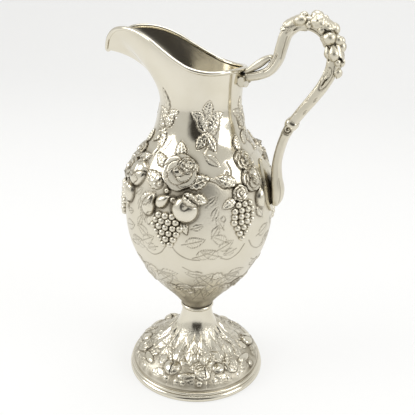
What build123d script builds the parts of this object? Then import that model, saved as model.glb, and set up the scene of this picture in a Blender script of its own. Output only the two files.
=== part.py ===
from build123d import *
import math
import os

# A footed silver ewer with a fruit-crested scroll handle. Millimetres, +Z up, the body's axis on Z
# and the foot standing on Z = 0. The handle points along +X and the pouring lip along -X.

# Sheet, wire and solder
wall = 1.2                  # gauge of the raised sheet
solder_gap = 0.08           # clearance left where one piece is soldered on to another

# Bowl
bowl_underside = 61.5
neck_seam = 232.0           # height of the seam with the neck, from which the heights above it are measured
bowl_shape = [              # (radius, share of the height from the underside to the seam), outside
    (14.2, 0.015), (20.8, 0.065), (27.9, 0.111), (35.2, 0.158), (47.8, 0.261), (56.4, 0.37),
    (60.2, 0.49), (59.7, 0.613), (55.6, 0.742), (46.4, 0.833), (37.2, 0.915), (33.0, 1.0),
]

# Fruit and flowers raised from inside the bowl, in clusters of two kinds, turn and turn about:
# (turn from the cluster's middle in degrees, share of the way up the outline, radius, rise)
rose_cluster = [
    (4.8, 0.786, 12.5, 4.4), (11.0, 0.649, 9.5, 4.8), (-16.6, 0.646, 6.6, 4.4), (-12.0, 0.692, 4.6, 3.4),
    (-2.5, 0.6, 8.0, 3.6), (-1.5, 0.553, 6.2, 3.2), (-1.6, 0.516, 3.8, 2.6),
]
flower_cluster = [
    (6.0, 0.735, 8.4, 3.8), (5.6, 0.806, 7.4, 3.2), (21.5, 0.733, 10.0, 4.2), (15.5, 0.651, 7.8, 4.2),
    (-7.0, 0.638, 8.0, 3.6), (-6.0, 0.585, 6.4, 3.2), (-4.8, 0.539, 4.2, 2.8),
]
cluster_count = 6
first_cluster = -90.0
plain_behind_handle = 19.0  # degrees to each side of the handle that carry no raised work

# Neck and mouth
neck_radius = 31.9          # the narrowest ring of the neck
neck_rise = 8.0             # height of that ring above the seam
mouth_radius = 34.0         # half width of the mouth, and its reach towards the handle
lip_reach = 80.0            # from the axis to the tip of the pouring lip
lip_drawn = 0.4             # how far the front of the mouth is drawn out into the lip
lip_pinch = 0.2             # how far the lip's sides are drawn in
rim_line = [                # (x, height above the seam) of the mouth's edge, from the back to the tip
    (34.0, 34.5), (16.0, 33.6), (3.0, 36.3), (-6.5, 40.4), (-18.0, 46.6), (-31.0, 54.0),
    (-43.0, 58.6), (-55.0, 60.2), (-66.0, 58.4), (-74.0, 52.5), (-80.0, 41.5),
]
neck_share = 0.2            # share of the neck's height below its narrowest ring
around = 32                 # points round each closed curve of the mouth

# Wire along the mouth's edge, slotted over the sheet
rim_wire_radius = 2.1
rim_slot_share = 0.035      # depth of the slot, as a share of the height from seam to edge

# Foot
foot_radius = 60.2
foot_band_height = 7.4
foot_band_spread = 3.4      # how far the band stands out past the pedestal's edge
foot_ledge = 3.2            # width of the ring on which the pedestal stands
foot_bead = 1.3             # radius of the bead along the top of the band
stem_radius = 12.9
stem_top_drop = 3.5         # straight length of the stem under the bowl
foot_edge_rise = 0.8        # straight length of the pedestal's edge over the band
foot_shape = [              # (share of the way out from the stem, share of the height), outside
    (1.0, 0.0), (0.954, 0.096), (0.835, 0.193), (0.666, 0.273), (0.471, 0.361), (0.277, 0.478),
    (0.135, 0.61), (0.055, 0.759), (0.011, 0.91), (0.0, 1.0),
]

# Collar round the joint of stem and bowl
collar_proud = 1.5
collar_height = 3.2

# Handle, one list for each cast length, soldered end to end:
# (x, height above the seam, half thickness in the plane, half width across it) along the centre line
upper_scroll_line = [
    (36.4, 29.2, 3.2, 5.0), (45.0, 30.9, 3.4, 5.0), (53.2, 34.8, 3.7, 5.0), (58.6, 42.6, 4.0, 5.1),
    (61.2, 52.4, 4.2, 5.2), (64.2, 61.6, 4.4, 5.4), (71.5, 67.6, 4.6, 5.8),
]
crest_line = [
    (80.5, 68.9, 5.0, 6.2), (89.0, 65.6, 5.2, 6.4), (95.2, 58.5, 5.0, 6.3), (98.4, 49.0, 4.8, 6.1),
    (97.9, 39.0, 4.6, 5.9),
]
grip_line = [
    (93.6, 28.5, 4.4, 5.7), (86.6, 17.5, 4.2, 5.5), (79.0, 7.0, 4.0, 5.4), (72.8, -2.5, 3.9, 5.3),
]
lower_arm_line = [(68.2, -12.5, 3.8, 5.3), (65.1, -23.5, 3.7, 5.4), (63.5, -34.5, 3.7, 5.6)]
terminal_line = [
    (63.9, -46.0, 4.4, 6.0), (65.5, -56.5, 5.2, 6.4), (65.4, -63.0, 4.6, 5.6), (64.2, -68.2, 2.6, 3.6),
]
handle_squareness = 3.0     # 2 would make the handle's section an ellipse, more squares it off
leaf_collar_proud = 1.3
leaf_collar_half = 3.0

# Plates that carry the handle, their heights measured from the seam
body_plate_thickness = 2.0
body_plate_centre = -53.0
body_plate_half_height = 21.0
body_plate_half_width = 11.0
neck_plate_half_height = 5.2
neck_plate_half_width = 8.4
volute_radius = 3.3
volute_centre = 26.6
volute_half_span = 7.6
volute_half_width = 1.5

# Curled tongue behind the mouth: (x, height above the seam, half thickness, half width)
thumb_curl = [
    (37.4, 34.1, 1.3, 4.4), (41.2, 37.5, 1.5, 4.7), (45.4, 41.0, 1.6, 4.8), (48.9, 43.8, 1.5, 4.6),
    (51.9, 43.9, 1.3, 4.3), (52.4, 41.4, 1.0, 3.9),
]

# Fruit on the crest: (share of the crest's length, turn round the section in degrees, radius,
# how far a pear is drawn out as a share of its radius)
crest_fruits = [
    (0.1, 10, 3.6, 0), (0.18, -46, 4.0, 0), (0.18, 48, 4.2, 0), (0.36, 0, 4.4, 0), (0.42, -68, 3.8, 0),
    (0.44, 66, 4.0, 0), (0.58, -24, 4.4, 0), (0.6, 34, 4.0, 0), (0.82, -20, 4.0, 0.8), (0.84, 38, 3.8, 0.7),
]
crest_fruit_lift = 0.3      # how far each fruit's middle stands off the crest, as a share of its radius
pear_neck = 0.7             # radius of a pear's narrow end over that of its body

# Worked out from the sizes above
foot_seat_radius = foot_radius - foot_band_spread
foot_opening_radius = foot_seat_radius - foot_ledge
bowl_outline = [(r, bowl_underside + share * (neck_seam - bowl_underside)) for r, share in bowl_shape]
foot_low = foot_band_height + foot_edge_rise
foot_high = bowl_underside - stem_top_drop
foot_outline = [
    (stem_radius + out * (foot_seat_radius - stem_radius), foot_low + up * (foot_high - foot_low))
    for out, up in foot_shape
]
handle_line = upper_scroll_line + crest_line + grip_line + lower_arm_line + terminal_line
crest_start = len(upper_scroll_line) - 1
grip_start = crest_start + len(crest_line)
lower_arm_start = grip_start + len(grip_line)
terminal_start = lower_arm_start + len(lower_arm_line)

os.makedirs("parts", exist_ok=True)


def save(shape, name):
    export_step(shape, f"parts/{name}.step")


def at(points):
    """Points of the XZ plane from (radius or x, height) pairs."""
    return [Vector(x, 0, z) for x, z in points]


def chain(*points):
    return [Line(a, b) for a, b in zip(points, points[1:])]


def turned(edges):
    """A solid of revolution about Z from a closed chain of edges in the XZ plane."""
    return revolve(make_face(edges), Axis.Z)


def offset_outline(points, distance):
    """The same outline moved along its own normals, towards the axis for a positive distance."""
    moved = []
    for i, (r, z) in enumerate(points):
        r0, z0 = points[max(i - 1, 0)]
        r1, z1 = points[min(i + 1, len(points) - 1)]
        length = math.hypot(r1 - r0, z1 - z0)
        moved.append((r - distance * (z1 - z0) / length, z + distance * (r1 - r0) / length))
    return moved


def filled(outline):
    """The solid of revolution inside an outline, flat across its two ends."""
    return turned([
        Spline(outline),
        *chain(outline[-1], Vector(0, 0, outline[-1].Z), Vector(0, 0, outline[0].Z), outline[0]),
    ])


# Bowl, collar and foot

def raised_forms(depth):
    """The domes of the raised fruit and flowers, taken depth under the sheet's outer face."""
    skin = Spline(at(bowl_outline))
    forms = []
    for i in range(cluster_count):
        middle = first_cluster + 360 / cluster_count * i
        for turn, way_up, reach, rise in (rose_cluster, flower_cluster)[i % 2]:
            azimuth = (middle + turn + 180) % 360 - 180
            if abs(azimuth) < plain_behind_handle:
                continue
            radius = (reach**2 + rise**2) / (2 * rise)
            point, up_it = skin @ way_up, skin % way_up
            centre = point + Vector(-up_it.Z, 0, up_it.X) * (radius - rise)
            forms.append(Rot(0, 0, azimuth) * Pos(*centre) * Rot(0, 0, 180) * Sphere(radius - depth))
    return forms


def body_bowl():
    """The raised bowl: one sheet from its closed bottom to the seam at the neck, with its relief."""
    outer = at(bowl_outline)
    inner = at(offset_outline(bowl_outline, wall))
    inner[-1] = Vector(outer[-1].X - wall, 0, outer[-1].Z)
    full = turned([
        Spline(outer),
        *chain(
            outer[-1], Vector(0, 0, outer[-1].Z), Vector(0, 0, bowl_underside),
            Vector(stem_radius, 0, bowl_underside), outer[0],
        ),
    ])
    above = Vector(0, 0, wall)
    hollow = turned([
        Spline(inner),
        *chain(inner[-1], inner[-1] + above, Vector(0, 0, inner[-1].Z) + above, Vector(0, 0, inner[0].Z), inner[0]),
    ])
    return (full + raised_forms(0.0)) - [hollow, *raised_forms(wall)]


def foot_pedestal():
    """The trumpet foot: a hollow sheet from the band up to the bowl's underside."""
    outer = at(foot_outline)
    inner = at(offset_outline(foot_outline[::-1], -wall))[::-1]
    inner[-1] = Vector(stem_radius - wall, 0, outer[-1].Z)
    edge_in, edge_out = Vector(inner[0].X, 0, foot_band_height), Vector(foot_seat_radius, 0, foot_band_height)
    return turned([
        Spline(outer),
        *chain(outer[-1], Vector(stem_radius, 0, bowl_underside), Vector(stem_radius - wall, 0, bowl_underside), inner[-1]),
        Spline(inner),
        *chain(inner[0], edge_in, edge_out, outer[0]),
    ])


def foot_band():
    """The applied moulding under the pedestal: a bead over a spreading fascia."""
    bead_middle = foot_seat_radius + foot_bead / 2
    groove = foot_band_height - 2 * foot_bead
    chamfer = foot_bead / 2
    low, high = foot_opening_radius, foot_radius - chamfer
    return turned([
        *chain(Vector(low, 0, 0), Vector(high, 0, 0), Vector(foot_radius, 0, chamfer), Vector(foot_radius, 0, 2 * chamfer)),
        ThreePointArc(
            Vector(foot_radius, 0, 2 * chamfer),
            Vector(foot_radius - chamfer, 0, groove - foot_bead),
            Vector(bead_middle, 0, groove),
        ),
        ThreePointArc(
            Vector(bead_middle, 0, groove),
            Vector(bead_middle + foot_bead, 0, groove + foot_bead),
            Vector(bead_middle, 0, foot_band_height),
        ),
        *chain(Vector(bead_middle, 0, foot_band_height), Vector(low, 0, foot_band_height), Vector(low, 0, 0)),
    ])


def waist_collar():
    """The beaded ring that covers the joint of stem and bowl."""
    inside = stem_radius + solder_gap
    outside = stem_radius + collar_proud
    low, high = bowl_underside - collar_height, bowl_underside - solder_gap
    top, foot = outside - collar_proud / 2, inside + collar_proud / 3
    return turned([
        *chain(Vector(top, 0, high), Vector(inside, 0, high), Vector(inside, 0, low), Vector(foot, 0, low)),
        ThreePointArc(Vector(foot, 0, low), Vector(outside, 0, (low + high) / 2), Vector(top, 0, high)),
    ])


# Neck, lip and the wire on its edge

def rim_height(x):
    """Height of the mouth's edge at x: a smooth curve through rim_line."""
    last = len(rim_line) - 1
    for i in range(last):
        (x0, z0), (x1, z1) = rim_line[i], rim_line[i + 1]
        if x < x1 and i < last - 1:
            continue
        (xa, za), (xb, zb) = rim_line[max(i - 1, 0)], rim_line[min(i + 2, last)]
        run = x1 - x0
        t = min(max((x - x0) / run, 0.0), 1.0)
        leave, arrive = run * (z1 - za) / (x1 - xa), run * (zb - z0) / (xb - x0)
        return neck_seam + (
            (2 * t**3 - 3 * t**2 + 1) * z0 + (t**3 - 2 * t**2 + t) * leave
            + (3 * t**2 - 2 * t**3) * z1 + (t**3 - t**2) * arrive
        )


def rim_point(angle):
    """A point of the mouth's edge: round behind, drawn out to the pouring lip in front."""
    c, s = math.cos(angle), math.sin(angle)
    x, y = mouth_radius * c, mouth_radius * s
    if c < 0:
        x = -lip_reach * abs(c) ** (1 + lip_drawn)
        y = mouth_radius * s * (1 - lip_pinch * abs(c) ** 1.5)
    return Vector(x, y, rim_height(x))


def mouth(angle, share):
    """Outer surface of neck and lip: share 0 is the seam with the bowl, 1 the mouth's edge."""
    c, s = math.cos(angle), math.sin(angle)
    seam_radius = bowl_outline[-1][0]
    if share <= neck_share:
        t = share / neck_share
        r = seam_radius + (neck_radius - seam_radius) * (1 - (1 - t) ** 2)
        return Vector(r * c, r * s, neck_seam + neck_rise * t)
    t = (share - neck_share) / (1 - neck_share)
    front = max(0.0, -c)
    root, end = Vector(neck_radius * c, neck_radius * s, neck_seam + neck_rise), rim_point(angle)
    rise = end.Z - root.Z
    run = math.hypot(end.X - root.X, end.Y - root.Y)
    leave = Vector(0, 0, rise * (1 + 0.25 * front**4))
    arrive = Vector(0, 0, 0.9 * rise * (1 - front**8) + 4) + Vector(c, 0.3 * s, 0) * (4 + 1.6 * run * front**6)
    return (
        root * (2 * t**3 - 3 * t**2 + 1) + leave * (t**3 - 2 * t**2 + t)
        + end * (3 * t**2 - 2 * t**3) + arrive * (t**3 - t**2)
    )


def mouth_frame(angle, share):
    """Outward normal of the sheet, and the way up it, at a point of the mouth."""
    step = 0.001
    round_it = mouth(angle + step, share) - mouth(angle - step, share)
    up_it = mouth(angle, min(share + step, 1.0)) - mouth(angle, max(share - step, 0.0))
    return round_it.cross(up_it).normalized(), up_it.normalized()


def closed_curve(point):
    return Wire([Spline([point(2 * math.pi * i / around) for i in range(around)], periodic=True)])


def sheet_curve(share, depth):
    """A closed curve round the mouth, depth under its outer surface."""
    return closed_curve(lambda a: mouth(a, share) - mouth_frame(a, share)[0] * depth)


def banded_solid(bands):
    """A solid from bands, each lofted through its closed curves and ending where the next begins."""
    faces = []
    for curves in bands:
        faces += Shell.make_loft(curves, ruled=len(curves) == 2).faces()
    return Solid(Shell(faces))


def neck_and_spout():
    """The raised neck and pouring lip, from the seam with the bowl to the mouth's edge."""
    levels = [0.0, 0.1, 0.2, 0.32, 0.44, 0.56, 0.68, 0.8, 0.9, 1 - rim_slot_share, 1.0]
    outer = [sheet_curve(v, 0.0) for v in levels]
    inner = [sheet_curve(v, wall) for v in levels]
    return banded_solid([outer, [outer[-1], inner[-1]], inner[::-1], [inner[0], outer[0]]])


def rim_wire():
    """The round wire along the mouth's edge, slotted so that the sheet seats in it."""
    clear = wall / 2 + solder_gap

    def on_wire(turn):
        def point(angle):
            normal, up = mouth_frame(angle, 1.0)
            middle = mouth(angle, 1.0) - normal * (wall / 2)
            return middle + normal * (rim_wire_radius * math.cos(turn)) + up * (rim_wire_radius * math.sin(turn))
        return closed_curve(point)

    def slot_floor(side):
        def point(angle):
            normal, up = mouth_frame(angle, 1.0)
            return mouth(angle, 1.0) - normal * (wall / 2 - side * clear) + up * solder_gap
        return closed_curve(point)

    first = math.radians(-58)
    turns = [first + (math.pi - 2 * first) * i / 8 for i in range(9)]
    outside = [on_wire(t) for t in turns]
    outer_lip = sheet_curve(1 - rim_slot_share, -solder_gap)
    inner_lip = sheet_curve(1 - rim_slot_share, wall + solder_gap)
    outer_floor, inner_floor = slot_floor(1), slot_floor(-1)
    return banded_solid([
        outside,
        [outside[-1], inner_lip],
        [inner_lip, inner_floor],
        [inner_floor, outer_floor],
        [outer_floor, outer_lip],
        [outer_lip, outside[0]],
    ])


# Handle

def station_frame(line, station):
    """Centre, direction and the two half sizes of the handle at a station, whole or between two."""
    low = min(int(station), len(line) - 2)
    t = station - low
    here = [a + (b - a) * t for a, b in zip(line[low], line[low + 1])]

    def direction(i):
        a, b = line[max(i - 1, 0)], line[min(i + 1, len(line) - 1)]
        return Vector(b[0] - a[0], 0, b[1] - a[1]).normalized()

    along = (direction(low) * (1 - t) + direction(low + 1) * t).normalized()
    return Vector(here[0], 0, neck_seam + here[1]), along, here[2], here[3]


def handle_section(line, station, proud=0.0, slide=0.0):
    """The handle's section: a rectangle with well rounded corners and slightly full sides."""
    centre, along, half_thick, half_wide = station_frame(line, station)
    thick_way = Vector(-along.Z, 0, along.X)
    points = []
    for i in range(16):
        c, s = math.cos(math.pi * i / 8), math.sin(math.pi * i / 8)
        wide = math.copysign(abs(c) ** (2 / handle_squareness), c) * (half_wide + proud)
        thick = math.copysign(abs(s) ** (2 / handle_squareness), s) * (half_thick + proud)
        points.append(centre + along * slide + Vector(0, wide, 0) + thick_way * thick)
    return Wire([Spline(points, periodic=True)])


def loft_along(line, first, last):
    return Solid.make_loft([handle_section(line, i) for i in range(first, last + 1)])


def thumb_scroll():
    """The tongue that curls up behind the mouth, for the thumb."""
    return loft_along(thumb_curl, 0, len(thumb_curl) - 1)


def behind_neck():
    """What the neck's back fills, grown by the solder gap, to seat the handle's root against it."""
    back = [mouth(0.0, i / 10) for i in range(11)]
    return filled([Vector(p.X + solder_gap, 0, p.Z) for p in back])


def body_skin(proud):
    """The bowl's outer form grown by proud."""
    return filled(at(offset_outline(bowl_outline, -proud)))


def almond(half_length, half_width):
    """A pointed leaf outline, its length along the second axis of the plane."""
    right = ThreePointArc((0, -half_length), (half_width, 0), (0, half_length))
    left = ThreePointArc((0, half_length), (-half_width, 0), (0, -half_length))
    return make_face([right, left])


def handle_root():
    """The oval plate on the neck with a volute on each side, which carries the handle's upper end."""
    start, along, _, _ = station_frame(handle_line, 0)
    height = neck_seam + volute_centre
    blank = Plane(origin=(neck_radius, 0, height), x_dir=(0, 1, 0), z_dir=(1, 0, 0))
    root = extrude(blank * Ellipse(neck_plate_half_width, neck_plate_half_height), start.X - neck_radius)
    for side in (-1, 1):
        turn = Plane(origin=(start.X - volute_half_width, side * volute_half_span, height), z_dir=(0, 1, 0))
        root += extrude(turn * Circle(volute_radius), volute_half_width, both=True)
    end_of_handle = Plane(origin=start, x_dir=(0, 1, 0), z_dir=along)
    room = extrude(end_of_handle * Rectangle(mouth_radius, mouth_radius), mouth_radius)
    return root - behind_neck() - room


def handle_upper_scroll():
    return loft_along(handle_line, 0, crest_start)


def handle_crest():
    """The cast crest: the handle's core with fruit heaped over its back."""
    return loft_along(handle_line, crest_start, grip_start) + crest_fruit_forms()


def handle_grip():
    return loft_along(handle_line, grip_start, lower_arm_start)


def handle_lower_arm():
    return loft_along(handle_line, lower_arm_start, terminal_start)


def handle_leaf_collar():
    """The ring of leafage over the joint between grip and lower arm."""
    half, proud = leaf_collar_half, leaf_collar_proud
    sections = [
        handle_section(handle_line, lower_arm_start, grow, slide)
        for slide, grow in ((-half, proud / 3), (-half / 3, proud), (half / 3, proud), (half, proud / 3))
    ]
    return Solid.make_loft(sections) - handle_grip() - handle_lower_arm()


def handle_terminal():
    """The handle's spreading lower end, cut to lie against its plate."""
    return loft_along(handle_line, terminal_start, len(handle_line) - 1) - body_skin(body_plate_thickness + solder_gap)


def handle_body_plate():
    """The leaf-shaped plate soldered to the bowl behind the handle's lower end."""
    face = almond(body_plate_half_height, body_plate_half_width)
    plane = Plane(origin=(mouth_radius, 0, neck_seam + body_plate_centre), x_dir=(0, 1, 0), z_dir=(1, 0, 0))
    blank = extrude(plane * face, foot_radius)
    return (blank & body_skin(body_plate_thickness)) - body_skin(solder_gap)


def crest_fruit_forms():
    """Fruit heaped over the crest: round ones, and pears drawn out along the handle."""
    forms = []
    for share, turn, radius, drawn_out in crest_fruits:
        station = crest_start + share * (grip_start - crest_start)
        centre, along, half_thick, half_wide = station_frame(handle_line, station)
        a = math.radians(turn)
        reach = 1 + crest_fruit_lift * radius / half_thick
        outward = Vector(-along.Z, 0, along.X)
        middle = centre + outward * (half_thick * reach * math.cos(a)) + Vector(0, half_wide * reach * math.sin(a), 0)
        forms.append(Pos(*middle) * Sphere(radius))
        if drawn_out > 0:
            forms.append(Pos(*(middle - along * (radius * drawn_out))) * Sphere(radius * pear_neck))
    return forms


if __name__ == "__main__":
    save(body_bowl(), "body_bowl")
    save(foot_pedestal(), "foot_pedestal")
    save(foot_band(), "foot_band")
    save(waist_collar(), "waist_collar")
    save(neck_and_spout(), "neck_and_spout")
    save(rim_wire(), "rim_wire")
    save(thumb_scroll(), "thumb_scroll")
    save(handle_root(), "handle_root")
    save(handle_upper_scroll(), "handle_upper_scroll")
    save(handle_crest(), "handle_crest")
    save(handle_grip(), "handle_grip")
    save(handle_leaf_collar(), "handle_leaf_collar")
    save(handle_lower_arm(), "handle_lower_arm")
    save(handle_terminal(), "handle_terminal")
    save(handle_body_plate(), "handle_body_plate")
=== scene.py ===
import math
import random
import bpy
import bmesh
import numpy as np
from mathutils import Matrix, Vector


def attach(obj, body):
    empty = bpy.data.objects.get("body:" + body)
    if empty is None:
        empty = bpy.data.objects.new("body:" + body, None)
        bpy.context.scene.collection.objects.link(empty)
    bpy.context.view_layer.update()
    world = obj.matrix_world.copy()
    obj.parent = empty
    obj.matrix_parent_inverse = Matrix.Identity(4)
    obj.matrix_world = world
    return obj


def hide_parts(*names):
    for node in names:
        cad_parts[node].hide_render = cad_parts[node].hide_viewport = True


# A footed silver ewer with repousse fruit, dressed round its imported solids.
# Shapes are worked out in millimetres and written to the meshes in metres.

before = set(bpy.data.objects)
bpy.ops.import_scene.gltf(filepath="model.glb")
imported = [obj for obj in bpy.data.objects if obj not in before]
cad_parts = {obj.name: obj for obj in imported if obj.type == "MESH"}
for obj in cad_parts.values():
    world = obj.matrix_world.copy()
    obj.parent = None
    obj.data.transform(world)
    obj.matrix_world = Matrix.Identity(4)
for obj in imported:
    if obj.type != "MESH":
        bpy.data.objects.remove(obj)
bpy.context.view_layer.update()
random.seed(7)
mm = 0.001
turn = 2 * math.pi
curveSteps = 1200     # steps in which a smooth curve is worked out before it is spaced evenly
lineSteps = 60        # places tried along a chased line for the nearest


# Numbers and curves

def smoothLine(points, count):  # evenly spaced points on a smooth curve through the given ones
    p = np.array(points, float)
    d = np.concatenate([[0], np.cumsum(np.linalg.norm(np.diff(p, axis=0), axis=1))])
    slope = np.gradient(p, d, axis=0)
    s = np.linspace(0, d[-1], curveSteps)
    i = np.clip(np.searchsorted(d, s, side="right") - 1, 0, len(d) - 2)
    gap = (d[i + 1] - d[i])[:, None]
    t = (s[:, None] - d[i][:, None]) / gap
    line = ((2 * t**3 - 3 * t**2 + 1) * p[i] + (t**3 - 2 * t**2 + t) * gap * slope[i]
            + (3 * t**2 - 2 * t**3) * p[i + 1] + (t**3 - t**2) * gap * slope[i + 1])
    run = np.concatenate([[0], np.cumsum(np.linalg.norm(np.diff(line, axis=0), axis=1))])
    places = np.linspace(0, run[-1], count)
    return np.stack([np.interp(places, run, line[:, k]) for k in range(p.shape[1])], axis=1)


def runAlong(line):  # distance along a line of points
    return np.concatenate([[0], np.cumsum(np.linalg.norm(np.diff(line, axis=0), axis=1))])


def easeBetween(low, high, x):
    t = np.clip((x - low) / (high - low), 0, 1)
    return t * t * (3 - 2 * t)


def softNoise(place, scale, seed):  # smooth wandering between about -1 and 1, from a few sines
    x, y, z = (place[..., k] * scale for k in range(3))
    dice = random.Random(seed)
    total = np.zeros_like(x)
    for k in range(7):
        a, b, c, d = (dice.uniform(-1, 1) for _ in range(4))
        total = total + np.sin(a * x + b * y + c * z + d * 6)
    return total / 3.5


# Surfaces: a grid of rows and columns, wrapped round into a tube

def surfaceNormals(place):  # outward when rows run up and columns run anticlockwise
    byColumn = np.roll(place, -1, axis=1) - np.roll(place, 1, axis=1)
    byRow = np.gradient(place, axis=0)
    n = np.cross(byColumn, byRow)
    length = np.linalg.norm(n, axis=2, keepdims=True)
    return n / np.maximum(length, 1e-9)


def blurGrid(values, rows, columns):
    out = values.copy()
    for _ in range(2):
        out = sum(np.roll(out, k, axis=1) for k in range(-columns, columns + 1)) / (2 * columns + 1)
        padded = np.pad(out, ((rows, rows), (0, 0)), mode="edge")
        out = sum(padded[k:k + len(values)] for k in range(2 * rows + 1)) / (2 * rows + 1)
    return out


def hollowsOf(height, rows, columns, depth):  # 1 where the surface lies lower than what is round it
    return np.clip((blurGrid(height, rows, columns) - height) / depth, 0, 1)


def mark(mesh, key, values):  # one number for each vertex, read by the materials
    layer = mesh.attributes.new(key, "FLOAT", "POINT")
    layer.data.foreach_set("value", np.asarray(values, np.float32))


def tubeMesh(name, place, closed=False, marks=None, normals=None):
    # a grid rolled into a tube of rows and columns, closed into a ring or capped, then moved to its place
    rows, columns = place.shape[:2]
    bm = bmesh.new()
    bmesh.ops.create_grid(bm, x_segments=columns, y_segments=rows - 1, size=1.0)
    for v in bm.verts:
        a = (v.co.x + 1) * math.pi
        v.co = (math.cos(a), math.sin(a), round((v.co.y + 1) / 2 * (rows - 1)))
    bmesh.ops.remove_doubles(bm, verts=bm.verts[:], dist=0.0002)
    openEdges = [e for e in bm.edges if e.is_boundary]
    ends = [[e for e in openEdges if all(round(v.co.z) == k for v in e.verts)] for k in (0, rows - 1)]
    if closed:
        bmesh.ops.bridge_loops(bm, edges=ends[0] + ends[1])
    else:
        for ring in ends:
            bmesh.ops.contextual_create(bm, geom=ring)
    bmesh.ops.recalc_face_normals(bm, faces=bm.faces)
    piece = pieceFrom(bm, name)
    mesh = piece.data
    unit = np.empty(len(mesh.vertices) * 3)
    mesh.vertices.foreach_get("co", unit)
    unit = unit.reshape(-1, 3)
    row = np.clip(np.rint(unit[:, 2]).astype(int), 0, rows - 1)
    column = np.rint(np.arctan2(unit[:, 1], unit[:, 0]) / turn * columns).astype(int) % columns
    put = place[row, column]
    mesh.vertices.foreach_set("co", (put * mm).ravel())
    for key, values in (marks or {}).items():
        mark(mesh, key, values[row, column])
    mesh.update()
    mesh.calc_loop_triangles()
    corners = np.empty(len(mesh.loop_triangles) * 3, int)
    mesh.loop_triangles.foreach_get("vertices", corners)
    a, b, c = put[corners].reshape(-1, 3, 3).transpose(1, 0, 2)
    if np.sum(a * np.cross(b, c)) < 0:
        mesh.flip_normals()
    mesh.polygons.foreach_set("use_smooth", [True] * len(mesh.polygons))
    mesh.set_sharp_from_angle(angle=math.radians(55))
    if normals is not None:
        mesh.normals_split_custom_set_from_vertices(normals[row, column].tolist())
    return piece


def pieceFrom(bm, name):
    mesh = bpy.data.meshes.new(name)
    bm.to_mesh(mesh)
    bm.free()
    piece = bpy.data.objects.new(name, mesh)
    bpy.context.scene.collection.objects.link(piece)
    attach(piece, "root")
    return piece


def dress(piece, material, slot, *nodes):
    piece.data.materials.clear()
    piece.data.materials.append(material)
    if nodes:
        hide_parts(*nodes)


# Punches: each adds its form to a field of heights, in true distances on the sheet

def newField(angle, run, radius, period):
    # angle in degrees, run up the sheet in mm and radius in mm, each over rows and columns
    shape = angle.shape
    return {"angle": angle, "run": run, "radius": radius, "period": period,
            "height": np.zeros(shape), "cut": np.zeros(shape), "ground": np.ones(shape)}


def sectorField(columns, run, radius):  # a field over a third of the turn, which then repeats
    sector = columns // 3
    flat = np.zeros((len(run), sector))
    angle = (np.arange(sector) / columns * 360.0)[None, :] + flat
    return newField(angle, run[:, None] + flat, radius[:, None] + flat, 120.0)


def localPlace(field, at, tilt=0.0):
    half = field["period"] / 2
    across = (field["angle"] - at[0] + half) % field["period"] - half
    x = np.radians(across) * field["radius"]
    y = field["run"] - at[1]
    a = math.radians(tilt)
    return x * math.cos(a) + y * math.sin(a), y * math.cos(a) - x * math.sin(a)


def raiseTo(field, form):
    inside = form > 0.02
    field["height"] = np.where(inside, np.maximum(field["height"], form), field["height"])
    field["ground"] = np.where(inside, 0.0, field["ground"])


def punchFruit(field, at, size, high, tilt=0.0, pear=0.0, dimple=0.0, seam=0.0):
    x, y = localPlace(field, at, tilt)
    narrow = 1 - pear * easeBetween(-0.6, 1.0, y / size[1])
    q = (x / (size[0] * narrow)) ** 2 + (y / size[1]) ** 2
    form = high * np.clip(1 - q, 0, 1) ** 0.5
    form = form - dimple * np.exp(-(x**2 + (y - size[1] * 0.35) ** 2) / (0.03 * size[0] * size[1] + 0.3))
    form = form - seam * np.exp(-((x - 0.25 * size[0] * (1 - (y / size[1]) ** 2)) / 0.5) ** 2) * (q < 0.96)
    ring = np.exp(-((np.sqrt(q) - 1.06) / (0.9 / max(size))) ** 2)
    field["cut"] = np.maximum(field["cut"], 0.35 * ring)
    raiseTo(field, np.where(q < 1, form, 0))


def punchLeaf(field, at, size, high, tilt=0.0, veins=5, teeth=0.16, cup=0.35):
    # at is the foot of the leaf, size its length and half width, tilt 0 points along the angle
    x, y = localPlace(field, at, tilt)
    t = np.clip(x / size[0], 0, 1)
    lobes = 1 - teeth * (0.5 + 0.5 * np.cos(turn * t * veins))
    half = size[1] * (np.sin(math.pi * t**0.75) ** 0.8) * lobes + 1e-3
    inside = (x > 0) & (x < size[0]) & (np.abs(y) < half)
    q = np.abs(y) / half
    form = high * (0.18 + 0.82 * np.clip(1 - q**2.2, 0, 1) ** 0.5) * np.clip(np.sin(math.pi * t), 0,
            1) ** 0.25
    form = form + high * cup * q**2 * 0.3
    form = form - high * 0.35 * np.exp(-(y / 0.45) ** 2)
    form = form + high * 0.06 * np.cos(turn * (t * veins - q * 0.9))
    edge = np.exp(-((np.abs(y) - half) / 0.55) ** 2) * (x > -0.3) * (x < size[0] + 0.3)
    field["cut"] = np.maximum(field["cut"], 0.3 * edge)
    raiseTo(field, np.where(inside, np.maximum(form, 0.15), 0))


def punchRose(field, at, radius, high, tilt=0.0, petals=6):
    # rings of cupped petals, each lying over the one before
    x, y = localPlace(field, at, tilt)
    for ring, (far, size, lift,
               count) in enumerate([(0.56, 0.52, 0.60, petals), (0.32, 0.42, 0.84, 4),
                                    (0.08, 0.24, 1.0, 2)]):
        for k in range(count):
            a = turn * (k / count + 0.13 * ring)
            across, along = x - radius * far * math.cos(a), y - radius * far * math.sin(a)
            u = (across * math.cos(a) + along * math.sin(a)) / (radius * size)
            w = (along * math.cos(a) - across * math.sin(a)) / (radius * size * 1.2)
            q = np.sqrt(u**2 + w**2)
            petal = high * lift * (0.74 + 0.26 * q**2) * (1 - 0.22 * u)
            rim = np.exp(-((q - 1.04) * radius * size / 0.5) ** 2)
            field["cut"] = np.maximum(np.where(q < 0.9, 0, field["cut"]), 0.3 * rim * (q > 0.9))
            field["height"] = np.where(q < 1, petal, field["height"])
            field["ground"] = np.where(q < 1, 0, field["ground"])


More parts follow.
